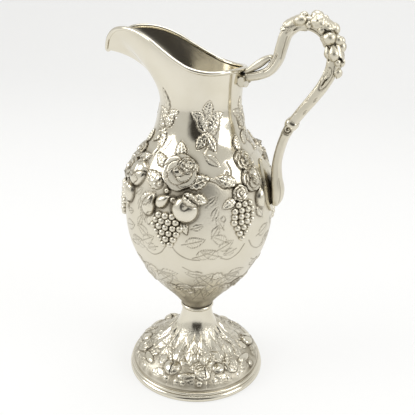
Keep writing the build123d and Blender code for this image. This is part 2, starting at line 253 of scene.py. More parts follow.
def punchDaisy(field, at, radius, high, petals=7):
    x, y = localPlace(field, at)
    rho, theta = np.hypot(x, y) / radius, np.arctan2(y, x)
    wave = np.abs(np.cos(petals / 2 * theta))
    reach = 0.72 + 0.28 * wave**0.7
    form = high * (0.35 + 0.65 * wave) * np.clip(1 - (rho / reach) ** 3, 0, 1) * np.clip(rho / 0.3, 0.2, 1)
    form = np.maximum(form, high * 1.1 * np.clip(1 - (rho / 0.28) ** 2, 0, 1) ** 0.5)
    field["cut"] = np.maximum(field["cut"], 0.22 * np.exp(-((rho - reach) * radius / 0.4) ** 2))
    raiseTo(field, np.where(rho < 1, form, 0))


def lineDistance(field, points):
    line = smoothLine(points, lineSteps)
    best = np.full(field["angle"].shape, 1e9)
    share = np.zeros(field["angle"].shape)
    for k, at in enumerate(line):
        x, y = localPlace(field, at)
        d = x**2 + y**2
        nearer = d < best
        best = np.where(nearer, d, best)
        share = np.where(nearer, k / lineSteps, share)
    return np.sqrt(best), share


def punchStem(field, points, width, high):
    d, _ = lineDistance(field, points)
    form = high * np.clip(1 - (d / width) ** 2, 0, 1) ** 0.6
    field["cut"] = np.maximum(field["cut"], 0.18 * np.exp(-((d - width * 1.25) / 0.4) ** 2))
    raiseTo(field, form)


def chaseLine(field, points, width, deep, dotted=0.0):
    d, share = lineDistance(field, points)
    depth = deep * np.exp(-(d / width) ** 2)
    if dotted:
        depth = depth * (0.5 + 0.5 * np.cos(turn * share * dotted))
    field["cut"] = np.maximum(field["cut"], depth)


def chaseLeaf(field, at, size, tilt, deep=0.34, dots=16):
    # an outline of close punch marks with a lined vein, flat on the sheet
    x, y = localPlace(field, at, tilt)
    t = np.clip(x / size[0], 0, 1)
    half = size[1] * np.sin(math.pi * t**0.7) ** 0.9 + 1e-3
    off = np.abs(y) - half
    onOutline = np.exp(-(off / 0.5) ** 2) * (x > -0.2) * (x < size[0] + 0.2)
    marks = onOutline * (0.55 + 0.45 * np.cos(turn * t * dots))
    vein = np.exp(-(y / 0.42) ** 2) * (x > -size[0] * 0.25) * (x < size[0] * 0.85) * 0.7
    ribs = np.exp(-(((t * 7 - np.abs(y) / size[1] * 0.9) % 1 - 0.5)
                    / 0.13) ** 2) * (off < -0.3) * (x > 0) * 0.4
    field["cut"] = np.maximum(field["cut"], deep * np.maximum(np.maximum(marks, vein), ribs))
    inside = (off < 0) & (x > 0) & (x < size[0])
    field["height"] = np.where(inside, np.maximum(field["height"], 0.22), field["height"])
    field["ground"] = np.where(inside, 0.35, field["ground"])


def finishField(field):  # heights with the chased lines cut into them
    return field["height"] - field["cut"]


# Bowl

bowl = {
    "outline": [(14.2, 64.0), (20.8, 72.5), (27.9, 80.5), (35.2, 88.5), (47.8, 106.0), (56.4, 124.5),
                (60.2, 145.0), (59.7, 166.0), (55.6, 188.0), (46.4, 203.5), (37.2, 217.5), (33.0, 232.0)],
    "underside": 61.5,
    "stemRadius": 12.9,
    "wall": 1.2,
    "columns": 648,
    "rows": 340,
    "insideRows": 12,          # rows of each piece's inner wall
    "joints": (126.0, 190.0),  # heights where the bowl's mesh is divided into its three pieces
    "behindHandle": (11.0, 18.0),   # degrees from the handle's plane where the raised work ends
    "mainCluster": -90.0,      # azimuth of the cluster with the rose; clusters alternate every 60 degrees
    "wander": 0.12,            # unevenness of the hand-raised sheet
    "runStart": 160.0,         # the height at which the run up the sheet has the same number
    "bareHeights": (150, 156, 203, 208),   # where the plain part behind the handle starts and ends
    "satinTo": (186, 194),     # the matted panels end here, and the bright shoulder starts
    "mattedTo": (72, 80),      # the strongly matted ring at the waist ends here
    "tarnishTo": (76, 98),     # the tarnish at the waist fades out here
}


def outlineNormals(line):
    d = np.gradient(line, axis=0)
    n = np.stack([d[:, 1], -d[:, 0]], axis=1)
    return n / np.linalg.norm(n, axis=1, keepdims=True)


def turnedPlaces(line, columns):  # points of (radius, height) turned round the axis
    a = np.arange(columns) / columns * turn
    r, z = line[:, 0][:, None], line[:, 1][:, None]
    return np.stack([r * np.cos(a), r * np.sin(a), z + 0 * a], axis=2)


def grapeBunch(centre, rows, pitch, lean):  # places of the grapes in one bunch, in angle and run
    out = []
    for k, count in enumerate(rows):
        for j in range(count):
            across = (j - (count - 1) / 2) * pitch + lean * k + random.uniform(-0.25, 0.25)
            out.append((centre[0] + across, centre[1] - k * pitch * 0.84 + random.uniform(-0.2, 0.2)))
    return out


clusterRose = {   # angles are from the cluster's middle, heights are run up the sheet
    "leaves": [   # angle, height, (length, half width), relief, tilt
        (-8, 186, (19, 6.5), 2.2, 148), (12, 190, (17, 6.0), 2.2, 20), (-14, 178, (15, 4.6), 1.8, 200),
        (16, 182, (12, 4.6), 3.4, -18), (3, 210, (13, 4.5), 1.6, 100), (-10, 202, (14, 4.6), 1.8, 140),
        (-13, 167, (13, 3.6), 1.5, 245), (9, 164, (12, 3.4), 1.3, -70),
    ],
    "rose": (4.5, 199.0, 12.6, 4.6),
    "apple": (11.0, 172.0, 9.8, 5.2),
    "pear": (-17.0, 172.0, 6.4, 9.6, 5.0),
    "quince": (-6.0, 176.5, 4.8, 7.0, 3.8),
    "berries": [(-3.2, 184.5, 2.3), (2.2, 178.5, 2.6), (-10.0, 188.0, 2.2)],
    "grapes": (-3.0, 166.0, [3, 4, 5, 4, 3, 2], 5.3, 0.25),
}
clusterFlowers = {
    "leaves": [
        (-10, 190, (16, 5.4), 2.0, 160), (12, 184, (17, 5.6), 2.2, 10), (4, 214, (12, 4.4), 1.6, 80),
        (-12, 178, (12, 4.0), 1.7, 205), (14, 200, (15, 5.0), 2.0, 30), (8, 168, (12, 3.6), 1.5, -50),
    ],
    "flowers": [(6.0, 190.5, 8.6, 4.0), (5.0, 206.0, 7.6, 3.4), (-7.5, 182.5, 6.0, 3.4)],
    "peach": (22.0, 191.0, 10.5, 4.6),
    "plum": (15.5, 174.5, 7.8, 4.6),
    "grapes": (-5.0, 174.0, [3, 4, 4, 4, 3, 2, 1], 5.2, -0.3),
}


def bowlField(line):
    run = runAlong(line)
    run = run - np.interp(bowl["runStart"], line[:, 1], run) + bowl["runStart"]
    return sectorField(bowl["columns"], run, line[:, 0]), run


scallop = [   # the border's lines: kind, points, width, depth or relief
    ("chased", [(-9.5, 191), (-4, 193.2), (3, 192.0), (10, 187.2), (13, 187.8), (20, 186.8)], 0.55, 0.55),
    ("raised", [(-9.5, 192.6), (-4, 194.9), (3.4, 193.6), (10.4, 188.8), (13.6, 189.4), (20, 188.2)], 0.8,
     0.7),
    ("raised", [(20, 187.2), (21.6, 185.2), (20, 183.4), (17.4, 184.2), (18, 186.0)], 0.8, 0.8),
    ("chased", [(16, 207), (18, 200), (16, 195.5), (12.6, 196.6), (13.4, 199.6), (15.4, 198.4)], 0.5, 0.4),
]
panelLines = [   # points, width, depth, punch marks along the line
    ([(1, 143), (5, 137), (13, 132), (22, 131)], 0.42, 0.3, 0),
    ([(-3, 141), (-8, 134), (-16, 130), (-22, 132)], 0.42, 0.3, 0),
    ([(24, 118), (16, 119), (9, 123)], 0.42, 0.3, 0),
    ([(36, 165), (38.5, 167), (40, 164.6), (38.6, 162.4), (36.6, 163.6)], 0.45, 0.35, 0),
    ([(-30, 86), (-22, 92), (-14, 90), (-8, 97), (0, 94), (9, 100)], 0.5, 0.34, 34),
    ([(12, 92), (20, 96), (28, 91), (36, 97)], 0.5, 0.34, 26),
]
panelLeaves = [   # angle, height, (length, half width), tilt
    (12, 145, (15, 4.2), 16), (20, 134, (15, 4.2), 22), (31, 152, (10, 2.6), 60),
    (27, 176, (9, 2.4), 40), (31, 166, (9, 2.4), 70), (-19, 146, (13, 3.8), 152),
    (-24, 134, (14, 4.0), 160), (-12, 138, (9, 2.8), 200), (17, 158, (8, 2.2), 20),
    (36, 140, (13, 3.8), 30), (-22, 158, (10, 2.6), 120),
]
waistLeaves = [   # the foliage that climbs from the waist
    (-26, 74, (26, 6.4), 74), (-6, 70, (30, 6.8), 96), (16, 72, (27, 6.2), 70), (31, 72, (24, 6.0), 104),
    (-20, 98, (22, 5.6), 40), (2, 104, (18, 5.0), 150), (19, 101, (21, 5.4), 48),
    (33, 100, (20, 5.2), 128), (-12, 112, (15, 4.2), 10), (25, 114, (14, 4.0), 168),
]


def shifted(points, middle, sign=1):
    return [(middle + sign * angle, up) for angle, up in points]


def punchBowl(field):
    a = bowl["mainCluster"]
    b = a + 60.0
    # behind everything: leaves that spread from under each cluster
    for m, cluster in ((a, clusterRose), (b, clusterFlowers)):
        for angle, up, size, high, tilt in cluster["leaves"]:
            punchLeaf(field, (m + angle, up), size, high, tilt)
    # scalloped border between the bright shoulder and the panels, with a volute at each end
    for centre, sign in ((a + 30, 1), (b + 30, -1)):
        for kind, points, width, amount in scallop:
            work = chaseLine if kind == "chased" else punchStem
            work(field, shifted(points, centre, sign), width, amount)
        chaseLeaf(field, (centre - sign * 3, 212.5), (13.5, 3.6), 48 if sign < 0 else -42, 0.3, 20)
    # clusters
    c = clusterRose
    punchFruit(field, (a + c["pear"][0], c["pear"][1]), c["pear"][2:4], c["pear"][4], tilt=-20, pear=0.5,
               seam=0.3)
    punchFruit(field, (a + c["quince"][0], c["quince"][1]), c["quince"][2:4], c["quince"][4], tilt=-50,
               pear=0.35)
    punchFruit(field, (a + c["apple"][0], c["apple"][1]), (c["apple"][2],) * 2, c["apple"][3], dimple=1.0)
    for at, run, size in c["berries"]:
        punchFruit(field, (a + at, run), (size, size), size * 1.1)
    punchLeaf(field, (a + 9.5, 184.0), (15, 4.8), 5.4, -35, veins=5, cup=0.6)
    punchRose(field, (a + c["rose"][0], c["rose"][1]), c["rose"][2], c["rose"][3], tilt=25)
    punchRose(field, (a + c["rose"][0] + 6.0, c["rose"][1] + 4.6), 6.0, c["rose"][3] + 1.6, tilt=60)
    c = clusterFlowers
    punchFruit(field, (b + c["peach"][0], c["peach"][1]), (c["peach"][2],) * 2, c["peach"][3], seam=0.5)
    punchFruit(field, (b + c["plum"][0], c["plum"][1]), (c["plum"][2], c["plum"][2] * 1.15),
               c["plum"][3], seam=0.4)
    for at, run, size, high in c["flowers"]:
        punchRose(field, (b + at, run), size, high, tilt=at * 20)
    # chased leaves and lines on the panels and round the waist
    for m in (a, b):
        for points, width, deep, dotted in panelLines:
            chaseLine(field, shifted(points, m), width, deep, dotted)
        for angle, up, size, tilt in panelLeaves:
            chaseLeaf(field, (m + angle, up), size, tilt)
        for angle, up, size, tilt in waistLeaves:
            chaseLeaf(field, (m + angle, up), size, tilt, 0.4, 24)
    # the flower above the collar
    for m in (a, b):
        punchRose(field, (m + 8, 93), 7.0, 1.5, tilt=20)
        punchFruit(field, (m + 13, 87), (3.0, 2.2), 1.3)
        punchLeaf(field, (m + 14, 94), (13, 3.6), 1.0, 20)
        punchLeaf(field, (m + 2, 92), (12, 3.4), 1.0, 165)
        punchDaisy(field, (m - 22, 112), 4.6, 1.2)


# the sheet's inner face between two heights, from the top down
def turnedWall(line, columns, low, high, rows):
    inner = line - outlineNormals(line) * bowl["wall"]
    inner[-1] = (line[-1][0] - bowl["wall"], line[-1][1])
    picked = np.linspace(high, low, rows).astype(int)
    return turnedPlaces(inner[picked], columns)


def makeBowl(material):
    columns = bowl["columns"]
    outer = smoothLine(bowl["outline"], bowl["rows"])
    field, run = bowlField(outer)
    punchBowl(field)
    punchNeckSprigs(field, outer)
    azimuth = (np.arange(columns) / columns * 360 + 180) % 360 - 180
    z = outer[:, 1][:, None]
    near = 1 - easeBetween(*bowl["behindHandle"], np.abs(azimuth))[None, :]
    bare = bowl["bareHeights"]
    plain = 1 - near * easeBetween(*bare[:2], z) * (1 - easeBetween(*bare[2:], z))
    height = np.tile(finishField(field), (1, 3)) * plain
    cut = np.tile(field["cut"], (1, 3)) * plain
    ground = np.tile(field["ground"], (1, 3))
    place = turnedPlaces(outer, columns)
    ends = easeBetween(64, 70, place[..., 2]) * (1 - easeBetween(224, 231, place[..., 2]))
    wander = bowl["wander"] * softNoise(place, 0.12, 3) * ends
    hollow = np.clip(0.8 * hollowsOf(height, 5, 5, 0.9) + 4.2 * np.clip(cut - 0.03, 0, 1), 0, 1)
    upper = 1 - easeBetween(*bowl["satinTo"], place[..., 2])
    waist = 1 - easeBetween(*bowl["mattedTo"], place[..., 2])
    stipple = ground * upper * np.maximum(0.2, waist)
    blotches = 0.58 + 0.25 * softNoise(place, 0.5, 11)
    tarnish = (1 - easeBetween(*bowl["tarnishTo"], place[..., 2])) * blotches
    hollow = np.maximum(hollow, tarnish * ground)
    satin = upper * (0.45 + 0.55 * ground)
    place = place + surfaceNormals(place) * (height + wander)[..., None]
    normals = surfaceNormals(place)
    first, second = (int(np.argmin(np.abs(outer[:, 1] - k))) for k in bowl["joints"])
    last = bowl["rows"] - 1
    for name, low, high in (("bowlBelow", 0, first), ("bowlMiddle", first, second),
                            ("bowlShoulder", second, last)):
        wall = turnedWall(outer, columns, low, high, bowl["insideRows"])
        parts = [place[low:high + 1], wall]
        facing = [normals[low:high + 1], -surfaceNormals(wall[::-1])[::-1]]
        layers = [[grid[low:high + 1], np.full(wall.shape[:2], flat)] for grid, flat in
                  ((hollow, 0.0), (stipple, 0.0), (satin, 0.6))]
        if low == 0:
            parts.insert(0, turnedPlaces(np.array([[bowl["stemRadius"], bowl["underside"]]]), columns))
            facing.insert(0, facing[0][:1])
            for layer in layers:
                layer.insert(0, layer[0][:1])
        marks = dict(zip(("hollow", "stipple", "satin"), (np.vstack(layer) for layer in layers)))
        piece = tubeMesh(name, np.vstack(parts), closed=low > 0, marks=marks, normals=np.vstack(facing))
        dress(piece, material, "silver_chased", "body_bowl")
    makeGrapes(outer, run, material)
    return normals[-1]


def onBowl(outer, run, angle, up):  # a point of the bowl and its outward direction
    r, z = np.interp(up, run, outer[:, 0]), np.interp(up, run, outer[:, 1])
    n = outlineNormals(outer)
    nr, nz = np.interp(up, run, n[:, 0]), np.interp(up, run, n[:, 1])
    a = math.radians(angle)
    return (Vector((r * math.cos(a), r * math.sin(a), z)),
            Vector((nr * math.cos(a), nr * math.sin(a), nz)).normalized())


def makeGrapes(outer, run, material):
    bm = bmesh.new()
    for k in range(6):
        cluster = clusterRose if k % 2 == 0 else clusterFlowers
        middle = bowl["mainCluster"] + 60 * k
        angle, up, rows, pitch, lean = cluster["grapes"]
        for across, at in grapeBunch((0.0, up), rows, pitch, lean):
            radius = np.interp(at, run, outer[:, 0])
            where = middle + angle + math.degrees(across / radius)
            place, out = onBowl(outer, run, where, at)
            swell = 1.0 + 1.6 * math.exp(-(across / 7.0) ** 2)
            size = pitch / 2 * random.uniform(1.02, 1.12)
            made = bmesh.ops.create_icosphere(bm, subdivisions=2, radius=size * mm)
            bmesh.ops.translate(bm, verts=made["verts"], vec=(place + out * (swell * 0.6 - 0.5)) * mm)
    for f in bm.faces:
        f.smooth = True
    piece = pieceFrom(bm, "grapes")
    mark(piece.data, "satin", np.full(len(piece.data.vertices), 0.8))
    dress(piece, material, "silver_chased")


# Neck, lip and the wire on its edge

mouth = {
    "neckRadius": 31.9, "neckHeight": 240.0, "radius": 34.0, "lipReach": 80.0, "lipDrawn": 0.4,
    "lipPinch": 0.2,
    "rim": [(34.0, 266.5), (16.0, 265.6), (3.0, 268.3), (-6.5, 272.4), (-18.0, 278.6), (-31.0, 286.0),
            (-43.0, 290.6), (-55.0, 292.2), (-66.0, 290.4), (-74.0, 284.5), (-80.0, 273.5)],
    "neckShare": 0.2, "rows": 66, "insideRows": 26, "wireRadius": 1.9,
}


def rimHeight(x):
    line = smoothLine(mouth["rim"], 400)
    return np.interp(-x, -line[:, 0], line[:, 1])


def mouthPlaces(a, share):  # the outer face of neck and lip
    c, s = np.cos(a), np.sin(a)
    seamRadius, seamHeight = bowl["outline"][-1]
    front = np.maximum(0, -c)
    rx = np.where(c < 0, -mouth["lipReach"] * front ** (1 + mouth["lipDrawn"]), mouth["radius"] * c)
    ry = mouth["radius"] * s * (1 - mouth["lipPinch"] * front**1.5)
    end = np.stack([rx, ry, rimHeight(rx)], axis=-1)
    root = np.stack([mouth["neckRadius"] * c, mouth["neckRadius"] * s, mouth["neckHeight"] + 0 * c],
                    axis=-1)
    rise = end[..., 2] - root[..., 2]
    reach = np.hypot(end[..., 0] - root[..., 0], end[..., 1] - root[..., 1])
    leave = np.stack([0 * c, 0 * c, rise * (1 + 0.25 * front**4)], axis=-1)
    spread = 4 + 1.6 * reach * front**6
    arrive = np.stack([c * spread, 0.3 * s * spread, 0.9 * rise * (1 - front**8) + 4], axis=-1)
    t = np.clip((share - mouth["neckShare"]) / (1 - mouth["neckShare"]), 0, 1)[..., None]
    upper = (root * (2 * t**3 - 3 * t**2 + 1) + leave * (t**3 - 2 * t**2 + t)
             + end * (3 * t**2 - 2 * t**3) + arrive * (t**3 - t**2))
    low = np.clip(share / mouth["neckShare"], 0, 1)
    r = seamRadius + (mouth["neckRadius"] - seamRadius) * (1 - (1 - low) ** 2)
    z = seamHeight + (mouth["neckHeight"] - seamHeight) * low
    lower = np.stack([r * c, r * s, z], axis=-1)
    return np.where((share < mouth["neckShare"])[..., None], lower, upper)


def punchNeckSprigs(field, line):  # the part of each neck sprig that lies on the shoulder
    run = field["run"]
    shift = run - (line[:, 1][:, None] + np.zeros_like(run))
    held = field["run"].copy()
    field["run"] = held - shift          # sprigs are laid out by height, as on the neck above
    punchSprigs(field)
    field["run"] = held


sprigLeaves = [   # angle, height, (length, half width), relief, tilt
    (-2, 224, (13, 4.6), 0.95, 118), (3, 225, (13, 4.6), 0.95, 60), (0, 220, (11, 4.0), 0.8, -60),
    (-3, 221, (11, 4.0), 0.8, 232), (5, 233, (10, 3.6), 0.75, 25), (-5, 233, (10, 3.6), 0.75, 155),
]
sprigFlowers = [   # angle, height, radius, relief
    (3.5, 230, 4.6, 1.3), (-6, 226, 4.4, 1.2), (-3, 235, 3.6, 1.1), (1, 220, 4.4, 1.2),
]


def punchSprigs(field):
    for k, lean in enumerate((-1, 1)):
        m = bowl["mainCluster"] + 30 + 60 * k
        for angle, up, size, high, tilt in sprigLeaves:
            punchLeaf(field, (m + angle, up), size, high, tilt)
        punchLeaf(field, (m + lean, 236), (11, 3.8), 0.85, 90 + 12 * lean)
        for angle, up, radius, high in sprigFlowers:
            punchDaisy(field, (m + angle * lean, up), radius, high, petals=5)
        punchStem(field, [(m, 214), (m + 4 * lean, 210), (m + 2 * lean, 206)], 0.8, 0.8)


def makeNeck(material, seamNormals):
    columns = bowl["columns"]
    a = np.arange(columns) / columns * turn
    share = np.concatenate([[0, 0.008], np.linspace(0.02, 0.42, mouth["rows"] - 22),
                            np.linspace(0.42, 1.0, 21)[1:]])
    grid, angle = np.meshgrid(share, a, indexing="ij")
    place = mouthPlaces(angle, grid)
    sector = columns // 3
    field = newField(np.degrees(angle[:, :sector]), place[:, :sector, 2],
                     np.hypot(place[:, :sector, 0], place[:, :sector, 1]), 120.0)
    # away from the lip the sheet's height is the same at every third of the turn
    even = mouthPlaces(np.zeros(sector)[None, :] + 0 * grid[:, :sector], grid[:, :sector])[..., 2]
    field["run"] = even
    punchSprigs(field)
    height = np.tile(finishField(field), (1, 3)) * (1 - easeBetween(0.45, 0.55, grid))
    normals = surfaceNormals(place)
    wander = bowl["wander"] * softNoise(place, 0.1, 5)
    wander = wander * easeBetween(0, 0.1, grid) * (1 - easeBetween(0.9, 1.0, grid))
    outer = place + normals * (height + wander)[..., None]
    pick = np.linspace(len(share) - 1, 0, mouth["insideRows"]).astype(int)
    inside = (place - normals * bowl["wall"])[pick]
    inside[-1, :, 2] = bowl["outline"][-1][1]
    whole = np.vstack([outer, inside])
    lines = np.tile(field["cut"], (1, 3)) * (1 - easeBetween(0.45, 0.55, grid))
    dark = np.clip(0.8 * hollowsOf(height, 3, 5, 0.8) + 2.4 * np.clip(lines - 0.05, 0, 1), 0, 1)
    hollow = np.vstack([dark, np.zeros((len(pick), columns))])
    satin = np.vstack([np.tile(1 - field["ground"], (1, 3)) * 0.5, np.full((len(pick), columns), 0.25)])
    facing = np.vstack([surfaceNormals(outer), -normals[pick]])
    facing[0] = seamNormals
    piece = tubeMesh("neckAndLip", whole, closed=True,
                     marks={"hollow": hollow, "stipple": 0 * hollow, "satin": satin},
                     normals=facing)
    dress(piece, material, "silver_polished", "neck_and_spout")


def makeRimWire(material):
    columns, rows = 420, 14
    a = np.arange(columns) / columns * turn
    one = np.ones(columns)
    edge = mouthPlaces(a, one)
    below = mouthPlaces(a, one * 0.97)
    up = edge - below
    up = up / np.linalg.norm(up, axis=1, keepdims=True)
    along = np.roll(edge, -1, axis=0) - np.roll(edge, 1, axis=0)
    along = along / np.linalg.norm(along, axis=1, keepdims=True)
    out = np.cross(along, up)
    middle = edge - out * bowl["wall"] / 2
    place = []
    for k in range(rows):
        t = k / rows * turn
        swell = mouth["wireRadius"]
        place.append(middle + swell * (math.cos(t) * out + math.sin(t) * 0.9 * up))
    plain = np.zeros((rows, columns))
    piece = tubeMesh("rimWire", np.array(place), closed=True,
                     marks=dict.fromkeys(("hollow", "stipple", "satin"), plain))
    dress(piece, material, "silver_polished", "rim_wire")


# Foot

foot = {
    "outline": [(56.6, 8.2), (54.6, 13.0), (49.4, 17.8), (42.0, 21.8), (33.5, 26.2), (25.0, 32.0),
                (18.8, 38.6), (15.3, 46.0), (13.4, 53.5), (12.9, 61.4)],
    "seat": 56.8, "bandHeight": 7.4, "columns": 600, "rows": 140, "insideRows": 14,
}


footLeaves = [   # angle, run from the edge, (length, half width), tilt
    (0, 20, (16, 5.6), 65), (-3, 20, (16, 5.6), 118), (20, 16, (14, 4.8), 80), (-20, 16, (14, 4.8), 100),
    (12, 26, (13, 4.2), 30), (-12, 26, (13, 4.2), 150), (28, 24, (13, 4.2), 90), (9, 9, (11, 3.6), 14),
    (-9, 9, (11, 3.6), 166),
]
footChasing = [   # the same, for chased leaves
    (-26, 30, (12, 3.2), 60), (-16, 34, (11, 3.0), 110), (4, 32, (12, 3.2), 80), (18, 34, (11, 3.0), 70),
    (-22, 8, (9, 2.8), 20), (20, 7, (9, 2.8), 160), (27, 32, (11, 3.0), 120), (-2, 11, (8, 2.6), 60),
    (16, 20, (9, 2.6), 40),
]


def punchFoot(field):
    for k in range(2):
        m = -90 + 60 * k
        for angle, up, size, tilt in footLeaves:
            punchLeaf(field, (m + angle, up), size, 0.8, tilt, veins=4, teeth=0.2)
        if k == 0:
            punchFruit(field, (m - 6, 17), (7.6, 6.6), 3.4, dimple=0.7)
            punchFruit(field, (m + 12, 12), (8.4, 3.0), 1.5, tilt=8)
            punchRose(field, (m + 28, 15.5), 6.6, 1.8, tilt=10)
        else:
            punchRose(field, (m + 1, 16.5), 7.0, 1.9, tilt=40)
            punchFruit(field, (m - 14, 17), (5.4, 4.8), 2.2)
            punchFruit(field, (m + 22, 14), (8.0, 3.0), 1.5, tilt=-8)
        for angle, up, size, tilt in footChasing:
            chaseLeaf(field, (m + angle, up), size, tilt, 0.42, 14)
        for spread in (-22, -16, -8, 3, 9, 14, 24):
            punchDaisy(field, (m + spread, 6.4 + 0.8 * (spread % 3)), 2.6, 0.7, petals=6)
        # smooth pointed lobes that run down from the stem, each with a sharp ridge
        for spread in (-30, -6, 14):
            x, y = localPlace(field, (m + spread, 0))
            half = 6.4 * (1 - easeBetween(28, 52, field["run"])) * easeBetween(18, 30, field["run"]) + 0.2
            q = np.abs(x - 0.6) / half
            form = 1.7 * np.clip(1 - q, 0, 1) * easeBetween(22, 30, y) * (1 - easeBetween(44, 54, y))
            field["cut"] = np.maximum(field["cut"],
                                      0.2 * np.exp(-((q - 1.05) * half / 0.5) ** 2) * (half > 1.5))
            field["height"] = np.where(q < 1, np.maximum(field["height"] * 0.2, form), field["height"])
            field["ground"] = np.where(q < 1, 0.1, field["ground"])


def makeFoot(material):
    columns = foot["columns"]
    outer = smoothLine(foot["outline"], foot["rows"])
    run = runAlong(outer)
    field = sectorField(columns, run, outer[:, 0])
    punchFoot(field)
    height = np.tile(finishField(field), (1, 3))
    ground = np.tile(field["ground"], (1, 3))
    far = run[:, None] + np.zeros((1, columns))
    fade = easeBetween(0, 3, far) * (1 - easeBetween(50, 58, far))
    height = height * fade
    place = turnedPlaces(outer, columns)
    lines = np.tile(field["cut"], (1, 3)) * fade
    hollow = np.clip(0.7 * hollowsOf(height, 4, 4, 0.9) + 2.4 * np.clip(lines - 0.05, 0, 1), 0, 1)
    mottle = 0.55 + 0.35 * softNoise(place, 0.6, 12)
    hollow = np.maximum(hollow, mottle * ground * fade * (1 - easeBetween(38, 46, far)))
    # dirt along the joint with the band
    hollow = np.maximum(hollow, 0.95 * (1 - easeBetween(0.3, 1.6, far)))
    normals = surfaceNormals(place)
    whole = place + normals * height[..., None]
    inner = smoothLine(foot["outline"], foot["insideRows"])
    inner = inner - outlineNormals(inner) * bowl["wall"]
    inner[-1, 1] = foot["outline"][-1][1]
    lowEdge = np.array([[foot["seat"] - 1.3, foot["bandHeight"]], [foot["seat"], foot["bandHeight"]]])
    inside = turnedPlaces(np.vstack([inner[::-1], lowEdge]), columns)
    whole = np.vstack([whole, inside])
    extra = np.zeros((len(inside), columns))
    piece = tubeMesh("footPedestal", whole, closed=True,
                     marks={"hollow": np.vstack([hollow, extra]),
                            "stipple": np.vstack([ground * fade, extra]),
                            "satin": np.vstack([0.15 + 0.6 * ground * fade, extra + 0.5])})
    dress(piece, material, "silver_chased", "foot_pedestal")


# Handle

handle = {
    "line": [(36.4, 261.2, 3.2, 5.0), (45.0, 262.9, 3.4, 5.0), (53.2, 266.8, 3.7, 5.0),
             (58.6, 274.6, 4.0, 5.1),
             (61.2, 284.4, 4.2, 5.2), (64.2, 293.6, 4.4, 5.4), (71.5, 299.6, 4.6, 5.8),
             (80.5, 300.9, 5.0, 6.2),
             (89.0, 297.6, 5.2, 6.4), (95.2, 290.5, 5.0, 6.3), (98.4, 281.0, 4.8, 6.1),
             (97.9, 271.0, 4.6, 5.9),
             (93.6, 260.5, 4.4, 5.7), (86.6, 249.5, 4.2, 5.5), (79.0, 239.0, 4.0, 5.4),
             (72.8, 229.5, 3.9, 5.3),
             (68.2, 219.5, 3.8, 5.3), (65.1, 208.5, 3.7, 5.4), (63.5, 197.5, 3.7, 5.6),
             (63.9, 186.0, 4.4, 6.0),
             # x, z, half thickness, half width
             (65.5, 175.5, 5.2, 6.4), (65.4, 169.0, 4.6, 5.6), (64.2, 163.8, 2.6, 3.6)],
    "square": 3.4,             # how square the section is: 2 would be an ellipse
    "columns": 96,
    "pitch": 0.42,             # mm between rows along it
    "reach": 6.0,              # mm that stand for one radian round the section
    "lengths": [("handleScroll", "handle_upper_scroll", 0, 6), ("handleCrest", "handle_crest", 6, 11),
                ("handleGrip", "handle_grip", 11, 15), ("handleArm", "handle_lower_arm", 15, 18),
                ("handleEnd", "handle_terminal", 18, 22)],
}

# On the handle, 0 degrees is its outer face, 90 the side towards the viewer; places are (degrees, station)
crestFruit = [   # kind, station, degrees, (half length, half width, height), sunk
    ("plum", 6.35, 70, (4.4, 3.3, 3.2), 0.4), ("rose", 7.55, 66, (4.8, 4.8, 3.8), 0.5),
    ("berry", 8.2, 56, (2.4, 2.4, 2.4), 0.3),
    ("peach", 8.85, 84, (4.3, 4.2, 4.0), 0.6), ("pear", 9.85, 84, (5.4, 3.7, 3.5), 0.6),
    ("pear", 9.75, 118, (4.2, 2.6, 2.4), 0.5),
    ("berry", 8.05, 92, (2.5, 2.5, 2.2), 0.3), ("berry", 7.0, 96, (2.2, 2.2, 1.8), 0.3),
    ("berry", 11.05, 40, (3.0, 2.6, 2.5), 0.3),
    ("plum", 9.2, 44, (3.2, 2.8, 2.8), 0.3), ("berry", 10.45, 60, (2.2, 2.0, 2.0), 0.3),
]
crestMiddle = [("apple", 7.3, 10, (4.2, 4.2, 3.6), 0.5), ("plum", 8.5, -4, (4.0, 3.6, 3.3), 0.5),
               ("peach", 9.6, 4, (3.8, 3.6, 3.2), 0.5),
               ("berry", 10.5, 0, (2.8, 2.6, 2.4), 0.3), ("berry", 6.5, 4, (2.8, 2.8, 2.2), 0.3)]
# station and degrees of the foot, length, half width, heading from the handle's run, lift of the tip
crestLeaves = [
    (6.7, 38, 14, 4.4, 172, 1.2), (7.0, 24, 15, 4.8, 12, 2.6), (9.1, 34, 14, 4.4, -6, 2.0),
    (10.4, 36, 10, 3.4, 4, 1.2),
    (8.4, 118, 9, 2.6, 8, 0.3), (6.9, 112, 9, 2.8, 184, 0.3), (10.9, 100, 9, 2.6, 2, 0.2),
    (5.9, 60, 9, 3.2, 186, 0.4),
]


def layHandle():  # the centre line, the distance along it, and where each station falls
    stations = np.array(handle["line"], float)
    fine = smoothLine(stations, 4000)
    run = runAlong(fine[:, :2])
    return fine, run, np.array([run[np.argmin(np.hypot(fine[:, 0] - k[0],
            fine[:, 1] - k[1]))] for k in stations])


def handlePlaces(lay, at, phi):
    fine, run, _ = lay
    x, z, thick, wide = (np.interp(at, run, fine[:, k]) for k in range(4))
    slope = np.gradient(fine[:, :2], axis=0)
    slope = slope / np.linalg.norm(slope, axis=1, keepdims=True)
    alongX, alongZ = (np.interp(at, run, slope[:, k]) for k in range(2))
    c, s = np.cos(phi), np.sin(phi)
    r = (np.abs(c / thick) ** handle["square"] + np.abs(s / wide) ** handle["square"]) ** (-1
            / handle["square"])
    return np.stack([x - alongZ * r * c, -r * s, z + alongX * r * c], axis=-1)


def handleSkin(lay, at, phi):  # places on the handle's face and the directions out of it
    place = handlePlaces(lay, at, phi)
    out = np.cross(handlePlaces(lay, at, phi + 0.02) - handlePlaces(lay, at, phi - 0.02),
                   handlePlaces(lay, at + 0.1, phi) - handlePlaces(lay, at - 0.1, phi))
    return place, out / np.linalg.norm(out, axis=-1, keepdims=True)


